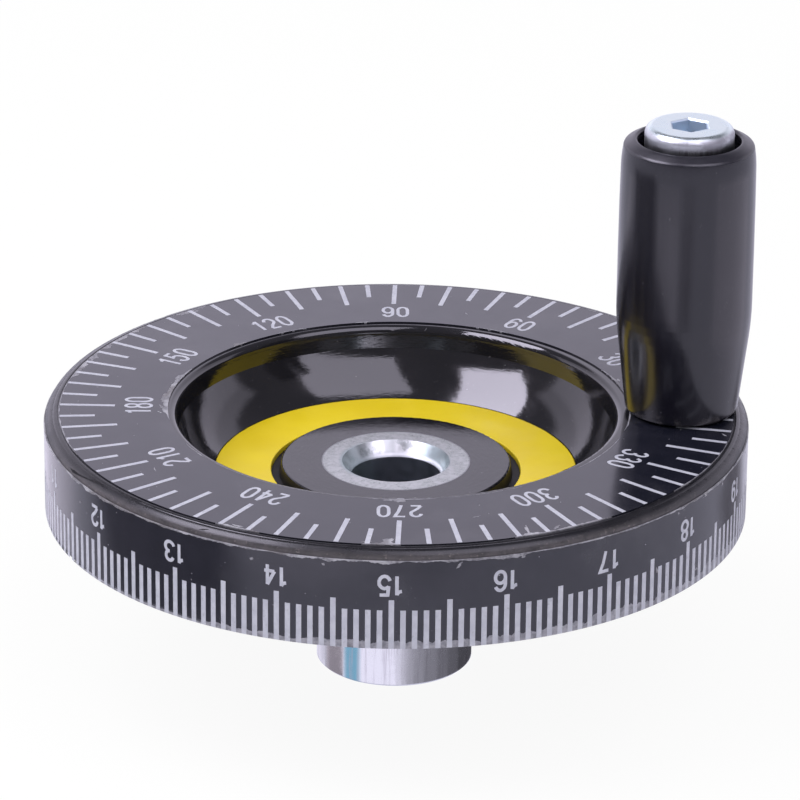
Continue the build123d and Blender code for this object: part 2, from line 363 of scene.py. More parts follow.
def rim_upper_edge(angle, v, w):
    """The upper edge of the rim film, v downwards."""
    return on_ring(angle, RIM_RADIUS + w, RIM_TOP_Z - v)


def rim_lower_edge(angle, v, w):
    """The lower edge of the rim film, v upwards."""
    return on_ring(angle, RIM_RADIUS + w, RIM_FOOT_Z + v)


def edge_round(angle, v, w):
    """The wheel's rounded outer edge, v along the round from its top."""
    tilt = v / RIM_ROUND
    reach = RIM_RADIUS - FILM - RIM_ROUND + (RIM_ROUND + w) * sin(tilt)
    height = FACE_Z - FILM - RIM_ROUND + (RIM_ROUND + w) * cos(tilt)
    return on_ring(angle, reach, height)


def torn_band(edge, start, end, depth, ragged, pile, proud):
    """A strip along an edge from start to end, in degrees: ragged inside and thin at both ends."""
    vertices, faces = pile
    radius = edge(0, 0, 0).xy.length
    count = ceil(radians(end - start) * radius / WEAR_STEP)
    base = len(vertices)
    for i in range(count + 1):
        share = i / count
        angle = start + (end - start) * share
        along = radians(angle) * radius / MM
        torn = sum(size * noise.noise(Vector((along * waves, depth / MM, place)))
                   for size, waves, place in TEAR_WAVES)
        taper = min(1, TEAR_TAPER * min(share, 1 - share) + TEAR_TIP)
        reach = depth * max(TEAR_LEAST, TEAR_USUAL + ragged * torn) * taper
        for v, w in ((-proud, proud), (reach, proud), (reach, -WEAR_SUNK), (-proud, -WEAR_SUNK)):
            vertices.append(edge(angle, v, w))
    last = base + 4 * count
    for near in range(base, last, 4):
        for k in range(4):
            after = (k + 1) % 4
            faces.append([near + k, near + after, near + 4 + after, near + 4 + k])
    faces.append([base + 3, base + 2, base + 1, base])
    faces.append([last, last + 1, last + 2, last + 3])


def flake(edge, angle, v, length, width, turn, pile, proud):
    """A chip of irregular outline, its length along the edge before it is turned, in millimetres."""
    radius = edge(0, 0, 0).xy.length
    lean = Matrix.Rotation(radians(turn), 2)
    outline = []
    for i in range(FLAKE_POINTS):
        t = 2 * pi * i / FLAKE_POINTS
        x, y = cos(t), sin(t)
        size = 1 + FLAKE_RAGGED * noise.noise(Vector((FLAKE_WAVES * x, FLAKE_WAVES * y, angle + v)))
        outline.append(lean @ Vector((length * x, width * y)) * size * MM / 2)

    def place(across, inward, w):
        return edge(angle + degrees(across / radius), v * MM + inward, w)
    plate([outline], place, proud, -PRINT_SUNK, pile)


# Torn stretches of each film edge, and how ragged they are: start and end in degrees, depth in millimetres.
TORN = (
    (hole_edge, 0.5, (
        (14, 26, 0.5), (60, 70, 0.45), (97, 101, 0.3), (114, 123, 0.42), (132, 137, 0.6), (155, 189, 1.3),
        (205, 215, 0.25), (216, 262, 0.1), (261, 279, 0.3), (280, 301, 0.12), (318, 341, 0.16),
        (345, 373, 0.35))),
    (dial_edge, 0.85, (
        (4, 30, 0.16), (44, 60, 0.2), (81, 96, 0.14), (126, 134, 1), (139, 157, 1.1), (155, 168, 1.2),
        (166, 202, 0.25), (239, 247, 0.5), (264, 270.3, 1.2), (289, 294, 1.1), (293, 307, 0.42),
        (322, 346, 0.14))),
    (rim_upper_edge, 0.75, (
        (0, 41, 0.3), (52, 96, 0.35), (108, 149, 0.4), (158, 203, 0.35), (203, 224, 0.6), (223, 251, 0.36),
        (250, 272, 0.6), (271, 281, 0.4), (279, 291, 0.5), (291, 318, 0.24), (316, 337, 0.45),
        (337, 360, 0.3))),
)
# Greyed stretches above the rim film's lower edge.
HAZED = ((2, 44, 1.3), (52, 118, 0.9), (118, 204, 1), (206, 241, 0.7), (236, 256, 1.4), (251, 286, 2.1),
         (281, 303, 2.2), (299, 316, 2.7), (312, 331, 2.2), (326, 346, 3.2), (342, 362, 2.4))
# Chips and scratches: angle, distance from the edge, length and width, and turn.
FLAKES = (
    (hole_edge, (
        (175, 0.8, 4.4, 1.3, 10), (181.5, 0.85, 2.6, 0.7, -28), (184, 1.6, 1, 0.3, -40),
        (269.7, 0.55, 2.4, 1.4, 0), (266.8, 0.5, 1.6, 0.5, 15), (135, 0.7, 1.6, 0.6, 20),
        (214, 10, 1.4, 0.18, 25), (284.8, 8.9, 1.3, 0.2, -14), (18, 0.7, 1.2, 0.5, 30),
        (74, 6, 0.8, 0.15, 50))),
    (dial_edge, (
        (268.1, 1.15, 2.2, 2.4, 0), (264.8, 0.9, 1.6, 0.7, 20), (292, 2.2, 3.2, 0.5, 78),
        (297, 1.2, 1.8, 0.5, 30), (130, 1, 3, 0.9, -8), (159.5, 1, 1.6, 0.7, 20),
        (243, 0.8, 2, 0.5, 0), (348, 1.1, 1.4, 0.3, 40))),
    (rim_upper_edge, (
        (246.8, 1.85, 0.55, 0.5, 0), (258.3, 1.1, 0.7, 0.4, 10), (279.3, 0.95, 1.1, 0.45, -50),
        (289.5, 0.6, 0.6, 0.4, 0), (334, 0.85, 0.9, 0.6, 40), (328, 0.5, 0.7, 0.6, 0),
        (320, 0.8, 0.5, 0.5, 0), (315, 9.6, 1.2, 0.3, 75), (325.5, 13.4, 1.3, 0.4, 10),
        (209, 3.6, 0.5, 0.4, 0), (66, 4, 1.6, 0.2, 60), (141, 7.5, 1.2, 0.3, -40),
        (101, 11.8, 0.9, 0.4, 20))),
)
# Scores in the rounded edge: angle, distance round it from its top, length, width, turn.
GOUGES = ((210, 1.35, 9.5, 0.34, -8), (206, 1.8, 3, 0.4, -3), (213.5, 0.75, 3, 0.3, 0),
          (238, 1.3, 1.6, 0.2, -10))


def layer(number):
    """How proud a patch of wear stands, so that it isn't level with those it overlaps."""
    return WEAR_PROUD + number * WEAR_LAYER


def film_wear():
    """Torn film edges, chips, scratches and specks of white."""
    pile = ([], [])
    for edge, ragged, stretches in TORN:
        for i, (start, end, depth) in enumerate(stretches):
            torn_band(edge, start, end, depth * MM, ragged, pile, layer(i % 2))
    for edge, chips in FLAKES:
        for i, chip in enumerate(chips):
            flake(edge, *chip, pile, layer(2 + i % 3))
    dice = random.Random(SPECK_SEED)
    for _ in range(SPECK_COUNT):
        edge, depth = dice.choice(((hole_edge, 18), (rim_upper_edge, 14)))
        size = dice.uniform(*SPECK_SIZES)
        angle = dice.uniform(0, 360)
        inward = dice.uniform(SPECK_LEAST_IN, depth)
        flake(edge, angle, inward, size, size * SPECK_SHAPE, 0, pile, layer(5))
    return add_mesh("film_wear", pile)


def edge_bead():
    """The dark lacquer outside the face film, run down on to the rounded edge, with a gap at the film."""
    profile = [(DIAL_RADIUS + out * MM, FACE_Z - down * MM) for out, down in BEAD_PROFILE]
    piece = add_mesh("edge_bead", lathe(profile, BEAD_STEPS))
    piece.data.shade_smooth()
    return piece


def edge_gouges():
    """Dark scores in the rounded edge, as thin patches on it."""
    pile = ([], [])
    for i, gouge in enumerate(GOUGES):
        flake(edge_round, *gouge, pile, GOUGE_PROUD + i * WEAR_LAYER)
    return add_mesh("edge_gouges", pile)


def film_haze():
    """The greyed foot of the rim film, under the ticks."""
    pile = ([], [])
    for i, (start, end, depth) in enumerate(HAZED):
        torn_band(rim_lower_edge, start, end, depth * MM, HAZE_RAGGED, pile, layer(i % 2))
    return add_mesh("film_haze", pile)


# ---- materials ----

class Nodes:
    """A material, given by its name, or the world, under construction."""

    def __init__(self, owner):
        self.owner = bpy.data.materials.new(owner) if isinstance(owner, str) else owner
        self.owner.use_nodes = True
        self.tree = self.owner.node_tree
        known = self.tree.nodes
        self.shader = known.get("Principled BSDF") or known["Background"]
        self.end = known.get("Material Output") or known["World Output"]
        self.place = self.made("TexCoord", {}, "Object")

    def made(self, kind, values, output=0, **settings):
        """One output of a new node, whose inputs are given by name or number."""
        node = self.tree.nodes.new("ShaderNode" + kind)
        for key, value in settings.items():
            setattr(node, key, value)
        for key, value in values.items():
            self.fill(node.inputs[key], value)
        return node.outputs[output]

    def join(self, source, target):
        self.tree.links.new(source, target)

    def fill(self, socket, value):
        """Links a socket, or sets it when the value is a plain number, colour or vector."""
        if isinstance(value, bpy.types.NodeSocket):
            self.join(value, socket)
        else:
            socket.default_value = (*value, 1) if socket.type == "RGBA" else value

    def maths(self, operation, *values):
        return self.made("Math", dict(enumerate(values)), operation=operation)

    def noise(self, scale, detail, rough=0.5, where=None):
        values = {"Vector": where or self.place, "Scale": scale, "Detail": detail, "Roughness": rough}
        return self.made("TexNoise", values, "Fac")

    def drawn(self, scales, detail, rough):
        """Noise with a scale of its own along each axis, for the marks of drawing and turning."""
        where = self.made("VectorMath", {0: self.place, 1: scales}, operation="MULTIPLY")
        return self.noise(1, detail, rough, where)

    def ramp(self, value, *limits):
        """0 at the first limit and 1 at the second, or the third and fourth where they are given."""
        values = dict(zip(("From Min", "From Max", "To Min", "To Max"), limits), Value=value)
        return self.made("MapRange", values, "Result", interpolation_type="SMOOTHSTEP")

    def fade(self, value, level, start, end):
        """0 at start and 1 at end, both in millimetres from a level."""
        return self.ramp(value, level + start * MM, level + end * MM)

    def mix(self, factor, first, second):
        values = {"Factor": factor, "A": first, "B": second}
        return self.made("Mix", values, "Result", data_type="RGBA")

    def cloud(self, scale, detail, *limits, rough=0.5):
        """Noise, put through a ramp."""
        return self.ramp(self.noise(scale, detail, rough), *limits)

    def start(self, factor, first, second):
        """The skin's colour to begin with: a mix of two."""
        self.skin = self.mix(factor, first, second)

    def paint(self, paint, *masks):
        """Lays another colour over the skin, as far as all the masks let it through."""
        self.skin = self.mix(self.times(*masks), self.skin, paint)

    def specks(self, low, share):
        """A little dust."""
        self.paint(DUST, self.cloud(2600, 1, low, low + 0.02), share)

    def bump(self, height, strength, distance=0.02 * MM):
        values = {"Height": height, "Strength": strength, "Distance": distance}
        self.join(self.made("Bump", values, "Normal"), self.shader.inputs["Normal"])

    def blend(self, share, first, second):
        """The first shader, and the second where the share is 1."""
        return self.made("MixShader", {0: share, 1: first, 2: second})

    def axes(self, where=None):
        return self.made("SeparateXYZ", {0: where or self.place}).node.outputs

    def radius(self, axis_x=0.0):
        """Distance from the bore axis, or from another upright axis on X."""
        x, y, _ = self.axes()
        x = self.maths("SUBTRACT", x, axis_x)
        return self.maths("SQRT", self.sum(self.times(x, x), self.times(y, y)))

    def times(self, first, *others):
        for other in others:
            first = self.maths("MULTIPLY", first, other)
        return first

    def sum(self, first, *others):
        for other in others:
            first = self.maths("ADD", first, other)
        return first

    def between(self, share, low, high):
        """low where the share is 0, and high where it is 1."""
        return self.sum(self.times(share, high), self.times(self.maths("SUBTRACT", 1.0, share), low))

    def towards(self, azimuth, full, none):
        """A mask that is 1 on the side facing an azimuth, and 0 further off, all in degrees."""
        x, y, _ = self.axes()
        turn = radians(azimuth)
        along = self.sum(self.times(x, cos(turn)), self.times(y, sin(turn)))
        share = self.maths("DIVIDE", along, self.radius())
        return self.ramp(share, cos(radians(none)), cos(radians(full)))

    def turned(self, across, along, detail, rough):
        """Noise that varies quickly across the marks of turning and slowly along them."""
        x, y, z = self.axes()
        around = self.times(self.sum(self.radius(), z), across)
        values = {0: self.times(x, along), 1: self.times(y, along), 2: around}
        return self.noise(1, detail, rough, self.made("CombineXYZ", values))

    def rays(self):
        """What kind of ray it is: whether from the camera, and whether from a polished face."""
        ray = self.made("LightPath", {}).node.outputs
        return ray["Is Camera Ray"], self.maths("MAXIMUM", ray["Is Glossy Ray"], ray["Is Transmission Ray"])

    def set(self, **values):
        """The finished material: the skin, and numbers by the shader's own socket names."""
        self.join(self.skin, self.shader.inputs["Base Color"])
        for key, value in values.items():
            self.fill(self.shader.inputs[key.replace("_", " ").title().replace("Ior", "IOR")], value)
        return self.owner


def colour(*parts):
    """A colour given in the 0 to 255 of a screen, as linear light."""
    return [p / 12.92 if p <= 0.04045 else ((p + 0.055) / 1.055) ** 2.4 for p in (c / 255 for c in parts)]


BLACK = (0.0075, 0.0075, 0.0105)
DUST = colour(150, 148, 156)


def phenolic():
    """Moulded phenolic with a polished dish and fine rubbing marks round it."""
    n = Nodes("phenolic")
    radius, height = n.radius(), n.axes()[2]
    n.start(n.cloud(90, 4, 0.35, 0.7), BLACK, (0.011, 0.0105, 0.014))
    n.specks(0.765, 0.35)
    gap = n.times(n.fade(radius, BOSS_RADIUS, 1.2, 0.9), n.fade(height, BOSS_TOP_Z, -0.4, -0.9))
    lines = n.turned(3000, 70, 3, 0.6)
    brushed = n.turned(2400, 700, 2, 0.5)
    brushed = n.times(brushed, n.fade(height, FACE_Z, -1.5, -2.1))
    n.bump(n.sum(n.noise(420, 3), n.times(lines, 0.8), n.times(brushed, 2.8)), 0.2)
    rough = n.sum(n.cloud(160, 5, 0.35, 0.75, 0.06, 0.13, rough=0.6), n.times(gap, 0.4))
    return n.set(roughness=rough, ior=1.65)


def phenolic_dull():
    """The narrow groove round the boss: as moulded, dusty and dull."""
    n = Nodes("phenolic_dull")
    n.start(n.cloud(600, 4, 0.45, 0.7), BLACK, (0.02, 0.018, 0.019))
    n.bump(n.noise(900, 3), 0.3)
    return n.set(roughness=n.cloud(300, 3, 0.3, 0.7, 0.4, 0.5), ior=1.3)


def phenolic_worn():
    """The rounded outer edge: worn to satin, with dull scuffed patches towards the rim film that are partly
    painted sheen, strongest on one side.
    """
    n = Nodes("phenolic_worn")
    height = n.axes()[2]
    n.start(n.cloud(90, 4, 0.35, 0.7), BLACK, (0.012, 0.0115, 0.015))
    low = n.fade(height, FACE_Z, -0.5, -1.6)
    # Painted sheen: the lower part of the round is painted lighter grey, most towards azimuth 258, in place
    # of a reflection there; the patches are partly real scuffs.
    wear_and_sheen_side = n.sum(n.times(n.towards(258, 46, 74), 0.85), 0.15)
    scuffs_and_sheen = n.times(low, wear_and_sheen_side, n.cloud(420, 5, 0.3, 0.6, 0.35, 1, rough=0.7))
    n.paint(colour(112, 106, 111), scuffs_and_sheen, 0.5)
    n.paint(colour(150, 140, 140), low, wear_and_sheen_side, n.cloud(1700, 3, 0.6, 0.68, rough=0.6), 0.4)
    lines = n.turned(2500, 60, 3, 0.6)
    n.bump(n.sum(n.noise(700, 4, 0.6), n.times(lines, 0.8)), 0.35)
    rough = n.sum(n.cloud(300, 4, 0.3, 0.7, 0.22, 0.3), n.times(low, 0.16))
    return n.set(roughness=rough, ior=1.46)


def grip_plastic():
    """Moulded grip, polished by hands, with drawn marks up and down and a duller top and foot."""
    n = Nodes("grip_plastic")
    height = n.axes()[2]
    n.start(n.cloud(110, 4, 0.35, 0.7), (0.006, 0.0058, 0.0115), (0.009, 0.0085, 0.015))
    n.specks(0.77, 0.3)
    top = n.fade(height, GRIP_TOP_Z, -1.0, -0.4)
    foot = n.times(n.fade(height, GRIP_LOW.z, 3, 0), n.cloud(300, 4, 0.5, 0.6))
    n.paint(colour(105, 100, 102), foot, 0.3)
    drawn = n.drawn((900, 900, 30), 4, 0.6)
    n.bump(n.sum(n.noise(380, 3), n.times(drawn, 0.4)), 0.16)
    rough = n.sum(n.ramp(drawn, 0.3, 0.7, 0.17, 0.24), n.times(top, 0.13), n.times(foot, 0.1))
    return n.set(roughness=rough, ior=1.6)


def film():
    """Printed polyester film, black, with a satin skin."""
    n = Nodes("dial_film")
    n.start(n.cloud(260, 3, 0.3, 0.7), (0.008, 0.0087, 0.0165), (0.012, 0.0123, 0.0215))
    n.paint(DUST, n.cloud(55, 5, 0.5, 0.7, rough=0.65), 0.05)
    n.specks(0.78, 0.25)
    n.bump(n.noise(700, 3), 0.12)
    return n.set(roughness=n.cloud(240, 4, 0.3, 0.7, 0.12, 0.17), ior=1.64)


def lacquer():
    """Black lacquer, a little uneven."""
    n = Nodes("lacquer")
    n.bump(n.noise(600, 3), 0.3, 0.03 * MM)
    n.start(n.cloud(300, 4, 0.4, 0.7), BLACK, (0.014, 0.013, 0.017))
    return n.set(roughness=n.cloud(500, 3, 0.3, 0.7, 0.16, 0.26))


def lacquer_dull():
    """The dark bottom of a score."""
    n = Nodes("lacquer_dull")
    n.bump(n.noise(1500, 3), 0.4, 0.03 * MM)
    n.start(n.cloud(700, 4, 0.4, 0.7), (0.004, 0.004, 0.005), (0.012, 0.011, 0.013))
    return n.set(roughness=0.5, ior=1.25)


def film_torn():
    """Torn and chipped film: the white layer under the black, dirty in places."""
    n = Nodes("film_torn")
    fine = n.noise(2200, 4, 0.7)
    n.start(n.ramp(fine, 0.35, 0.65), colour(104, 102, 112), colour(148, 146, 158))
    n.paint(colour(170, 168, 180), n.cloud(230, 3, 0.5, 0.6, 0, 0.8))
    n.paint(colour(92, 86, 88), n.cloud(140, 3, 0.46, 0.34, 0, 0.5))
    n.bump(fine, 0.5, 0.03 * MM)
    return n.set(roughness=0.65)


def film_grey():
    """Film that has gone cloudy along its foot."""
    n = Nodes("film_grey")
    cloud = n.noise(900, 4, 0.65)
    n.start(n.ramp(cloud, 0.35, 0.65), colour(112, 111, 123), colour(152, 150, 163))
    n.bump(cloud, 0.3)
    return n.set(roughness=0.4)


def print_ink():
    """White ink, a little blue, with pinholes."""
    n = Nodes("print_ink")
    patchy = n.noise(500, 4, 0.65)
    n.start(n.ramp(patchy, 0.3, 0.7), (0.43, 0.43, 0.53), (0.52, 0.52, 0.62))
    n.paint((0.2, 0.2, 0.24), n.cloud(1500, 3, 0.64, 0.72, 0, 0.4))
    n.bump(patchy, 0.2, 0.01 * MM)
    return n.set(roughness=0.42)


def ring_yellow():
    """Yellow plastic, with fine grain and edges that have gone dirty."""
    n = Nodes("ring_yellow")
    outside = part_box("accent_ring")[1].x
    n.start(n.cloud(60, 3, 0.3, 0.7), (0.76, 0.56, 0.008), (0.82, 0.63, 0.014))
    n.paint((0.62, 0.44, 0.01), n.cloud(1800, 2, 0.62, 0.75, 0, 0.25))
    dirt = n.times(n.cloud(400, 4, 0.45, 0.6), n.fade(n.radius(), outside, -0.5, 0))
    n.paint((0.25, 0.17, 0.02), dirt, 0.5)
    n.bump(n.noise(900, 3), 0.25)
    return n.set(roughness=n.cloud(200, 3, 0.3, 0.7, 0.32, 0.45))


def hub_steel():
    """Zinc plated steel: spangled top, drawn outside with painted reflections as a brown and a teal band,
    painted shade in the bore, and painted reflections in the countersink.
    """
    n = Nodes("hub_steel")
    radius, height = n.radius(), n.axes()[2]
    spangle = n.noise(700, 5, 0.7)
    n.start(n.ramp(spangle, 0.35, 0.65), (0.43, 0.46, 0.44), (0.66, 0.68, 0.67))
    outside = n.times(n.fade(radius, BUSH_RADIUS, -1.5, -0.5), n.fade(height, BOSS_TOP_Z, -2, -4))
    drawn = n.drawn((1500, 1500, 60), 4, 0.7)
    n.paint((0.7, 0.72, 0.73), outside)
    # Painted reflections: a brown band and a teal band down the outside, at fixed azimuths.
    n.paint((0.5, 0.42, 0.4), outside, n.towards(219, 6, 12), 0.5)
    n.paint((0.1, 0.31, 0.38), outside, n.towards(236.5, 2.5, 9), 0.9)
    n.paint((0.36, 0.35, 0.38), outside, n.ramp(drawn, 0.5, 0.72), 0.5)
    # Painted shade: the bore is painted dark, for the shade deep inside it.
    bore = n.times(n.fade(radius, BORE_RADIUS, 0.7, 0.25), n.fade(height, BOSS_TOP_Z, -1.2, -2.2))
    n.paint((0.15, 0.165, 0.19), bore, 0.95)
    cone = n.times(n.fade(radius, CONE_RADIUS, 0.4, -0.2), n.fade(height, BOSS_TOP_Z, -3, -1.8))
    n.paint((0.96, 0.97, 0.97), cone, 0.7)
    # Painted reflections in the countersink: darker zones towards 97 and 15 degrees, a pale band at the
    # bore's edge as a painted highlight, and teal on the left of the mouth; darker patches besides.
    n.paint((0.24, 0.27, 0.26), cone, n.towards(97, 3, 9), 0.5)
    n.paint((0.3, 0.37, 0.37), cone, n.towards(15, 38, 56), 0.9)
    n.paint((0.36, 0.4, 0.39), cone, n.cloud(420, 4, 0.48, 0.6, rough=0.7), 0.6)
    n.paint((0.93, 0.94, 0.95), cone, n.fade(radius, BORE_RADIUS, 0.5, 0.2))
    n.paint((0.34, 0.44, 0.44), n.towards(180, 20, 75), n.fade(radius, CONE_RADIUS, 0.9, -0.1), 0.7)
    seam = n.times(n.fade(radius, BUSH_RADIUS, -1.1, -0.75), n.fade(height, BOSS_TOP_Z, -1, -0.5))
    n.paint((0.2, 0.2, 0.215), seam, 0.8)
    n.bump(n.sum(n.times(drawn, outside), n.times(n.noise(1500, 3), 0.5)), 0.3, 0.015 * MM)
    rough = n.sum(n.ramp(spangle, 0.3, 0.7, 0.26, 0.38), n.times(outside, -0.08), n.times(bore, 0.15))
    rough = n.sum(rough, n.times(cone, 0.04))
    return n.set(metallic=1.0, roughness=rough)


def screw_zinc():
    """Blue zinc plating, worn on the side of the head, with painted dark reflected streaks on its front and
    painted shade at its foot; bluer and duller in the socket.
    """
    n = Nodes("screw_zinc")
    radius, height = n.radius(HANDLE_X), n.axes()[2]
    patches = n.noise(300, 5, 0.6)
    n.start(n.ramp(patches, 0.3, 0.7), (0.61, 0.72, 0.71), (0.73, 0.82, 0.79))
    side = n.times(n.fade(radius, HEAD_RADIUS, -1.5, -0.7), n.fade(height, HEAD_TOP_Z, -0.1, -0.8))
    n.paint((0.52, 0.525, 0.55), side, 0.85)
    dull = n.times(side, n.cloud(240, 4, 0.46, 0.58, rough=0.6))
    n.paint((0.3, 0.295, 0.32), dull, 0.6)
    drawn = n.drawn((1400, 1400, 220), 4, 0.7)
    # Painted reflection: dark streaks on the lower side of the head, on its front (towards -Y) only.
    front = n.maths("LESS_THAN", n.axes()[1], -0.6 * HEAD_RADIUS)
    dark = n.times(side, front, n.ramp(drawn, 0.42, 0.6), n.cloud(210, 2, 0.42, 0.58))
    dark = n.times(dark, n.fade(height, HEAD_TOP_Z, -1.6, -2.6))
    n.paint((0.2, 0.18, 0.19), dark, 0.7)
    # Painted shade: the foot of the head's side is painted darker, for the shade of the counterbore round
    # it.
    foot = n.times(side, n.fade(height, HEAD_TOP_Z, -2.0, -3.1))
    n.paint((0.16, 0.16, 0.17), foot, 0.75)
    socket = n.times(n.fade(radius, SOCKET_RADIUS, 0.1, -0.2), n.fade(height, HEAD_TOP_Z, -0.02, -0.1))
    n.paint((0.54, 0.63, 0.7), socket)
    n.bump(n.sum(n.times(drawn, 0.8), n.times(n.noise(1600, 3), 0.5)), 0.3, 0.015 * MM)
    rough = n.sum(n.ramp(patches, 0.3, 0.7, 0.24, 0.34), n.times(side, 0.1), n.times(dull, 0.12))
    return n.set(metallic=1.0, roughness=n.sum(rough, n.times(socket, 0.2)))


def insert_steel():
    """Plain turned steel of the insert in the wheel, under the grip."""
    n = Nodes("insert_steel")
    lines = n.drawn((150, 150, 2500), 3, 0.6)
    n.start(n.ramp(lines, 0.35, 0.65), (0.42, 0.42, 0.43), (0.58, 0.58, 0.60))
    n.paint((0.2, 0.17, 0.15), n.cloud(300, 4, 0.55, 0.7, 0, 0.5))
    n.bump(lines, 0.3, 0.015 * MM)
    return n.set(metallic=1.0, roughness=n.ramp(lines, 0.3, 0.7, 0.25, 0.4))


# ---- moulding ----

ROUND_SLACK = 0.03 * MM  # how far off a round its vertices may lie
SAME_WAY = 0.88  # least cosine between a facet's normal and the round's
LIP_ROUND = 1.2 * MM
WALL_TOP_RADIUS = 39.1 * MM
WALL_SLOPE = atan(0.4 / 4.05)  # the wall of the dish leans 0.4 mm in 4.05 mm of its height


def moulding():
    """The CAD moulding with true normals on its two long rounds, which facets would break up."""
    mesh = nodes["wheel_moulding"].data.copy()
    mesh.name = "wheel_body"
    piece = add_object("wheel_body", mesh)
    body_top = FACE_Z - FILM
    lip_z = body_top - LIP_ROUND
    lip_r = WALL_TOP_RADIUS - LIP_ROUND * tan(WALL_SLOPE) + LIP_ROUND / cos(WALL_SLOPE)
    rounds = ((lip_r, lip_z, LIP_ROUND), (RIM_RADIUS - FILM - RIM_ROUND, body_top - RIM_ROUND, RIM_ROUND))
    normals = [Vector(corner.vector) for corner in mesh.corner_normals]
    for face in mesh.polygons:
        for loop in face.loop_indices:
            place = mesh.vertices[mesh.loops[loop].vertex_index].co
            radius = place.xy.length
            for round_r, round_z, size in rounds:
                away = Vector((radius - round_r, place.z - round_z))
                if abs(away.length - size) < ROUND_SLACK:
                    away.normalize()
                    true = Vector((away.x * place.x / radius, away.x * place.y / radius, away.y))
                    if true.dot(face.normal) > SAME_WAY:
                        normals[loop] = true
    mesh.normals_split_custom_set(normals)
    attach(piece, "wheel")
    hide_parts("wheel_moulding")
    return piece


def finish_faces(piece, material, radii, heights):
    """Gives the faces that lie between two radii and two heights a finish of their own."""
    mesh = piece.data
    mesh.materials.append(material)
    for face in mesh.polygons:
        corners = [mesh.vertices[i].co for i in face.vertices]
        if all(radii[0] < c.xy.length < radii[1] and heights[0] < c.z < heights[1] for c in corners):
            face.material_index = len(mesh.materials) - 1


GRIP_STEPS = 160
GRIP_SHARP = 35  # degrees between faces, from which an edge of the grip is sharp
GRIP_RISE = 0.65 * MM  # the mouth of the counterbore above the CAD grip's top
GRIP_CORNER_DROP = 0.35 * MM  # the top's corner below the CAD grip's top
GRIP_CORNER_ROUND = 0.75 * MM
GRIP_CORNER_IN = 0.35 * MM  # and inside the grip's side, which draws in towards it
GRIP_DRAW_LENGTH = 5.0 * MM
GRIP_TOP_SLOPE = 27.0  # degrees, from the corner up to the mouth
GRIP_CORNER_LOW = 0.45 * MM  # where the corner's round begins, below the corner
GRIP_CORNER_START = 8  # degrees, the lean of the side there
GRIP_DRAW_POWER = 2.2  # how late the side draws in
GRIP_DRAW_STEPS = 8
GRIP_NEAR = 0.02 * MM  # radii or heights of the CAD grip that are as good as the same
GRIP_TOP_BAND = 4.0 * MM  # what counts as the CAD grip's top, its mouth, and its walls
GRIP_MOUTH_BAND = 0.6 * MM
GRIP_WALL = 2.3 * MM
GRIP_BORE_WALL = 2.5 * MM
MOUTH_ROUND = 0.5 * MM
MOUTH_FLAT = 0.05 * MM
HEAD_CAD_ROUND = 0.95 * MM
HEAD_ROUND = 1.5 * MM
HEAD_SLACK = 0.05 * MM  # how far off the CAD round its vertices may lie


def grip():
    """The grip turned about its axis: the CAD profile, with the corner and slope its top really has."""
    points = set()
    for vertex in nodes["handle_grip"].data.vertices:
        points.add((round(hypot(vertex.co.x - HANDLE_X, vertex.co.y), 6), round(vertex.co.z, 6)))
    # Radii and heights of the CAD grip: its top, its bore, and the ledge and mouth of its counterbore.
    top_radius = max(r for r, z in points if z > GRIP_TOP_Z - GRIP_TOP_BAND)
    bore = min(r for r, z in points)
    ledge_z = max(z for r, z in points if r < bore + GRIP_NEAR)
    within = top_radius - GRIP_WALL
    ledge = max(r for r, z in points if abs(z - ledge_z) < GRIP_NEAR and r < within)
    mouth = max(r for r, z in points if z > GRIP_TOP_Z - GRIP_MOUTH_BAND and r < within) - MOUTH_ROUND
    foot_z = GRIP_TOP_Z - GRIP_DRAW_LENGTH
    side = sorted((z, r) for r, z in points if r > bore + GRIP_BORE_WALL and z < foot_z)
    profile = [(r, z) for z, r in side]
    corner_r = top_radius - GRIP_CORNER_IN
    corner_z = GRIP_TOP_Z - GRIP_CORNER_DROP
    round_z = corner_z - GRIP_CORNER_LOW
    for i in range(1, GRIP_DRAW_STEPS):
        share = i / GRIP_DRAW_STEPS
        profile.append((top_radius - GRIP_CORNER_IN * share ** GRIP_DRAW_POWER,
                        foot_z + (round_z - foot_z) * share))
    profile += arc(corner_r - GRIP_CORNER_ROUND, round_z, GRIP_CORNER_ROUND, GRIP_CORNER_ROUND,
                   GRIP_CORNER_START, 90 - GRIP_TOP_SLOPE, 8)
    last_r, last_z = profile[-1]
    inner_r = mouth + MOUTH_ROUND + MOUTH_FLAT
    slope = tan(radians(GRIP_TOP_SLOPE))
    for share in (0.3, 0.6, 1.0):
        profile.append((last_r + (inner_r - last_r) * share,
                        min(GRIP_TOP_Z + GRIP_RISE, last_z + (last_r - inner_r) * share * slope)))
    lip_z = profile[-1][1]
    profile += arc(inner_r - MOUTH_FLAT, lip_z - MOUTH_ROUND, MOUTH_ROUND, MOUTH_ROUND, 105, 180, 5)
    profile.extend(((ledge, ledge_z), (bore, ledge_z), (bore, GRIP_LOW.z)))
    piece = add_faces("grip_body", *lathe(profile, GRIP_STEPS, HANDLE_X))
    piece.data.shade_smooth()
    piece.data.set_sharp_from_angle(angle=radians(GRIP_SHARP))
    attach(piece, "grip")
    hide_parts("handle_grip")
    return piece


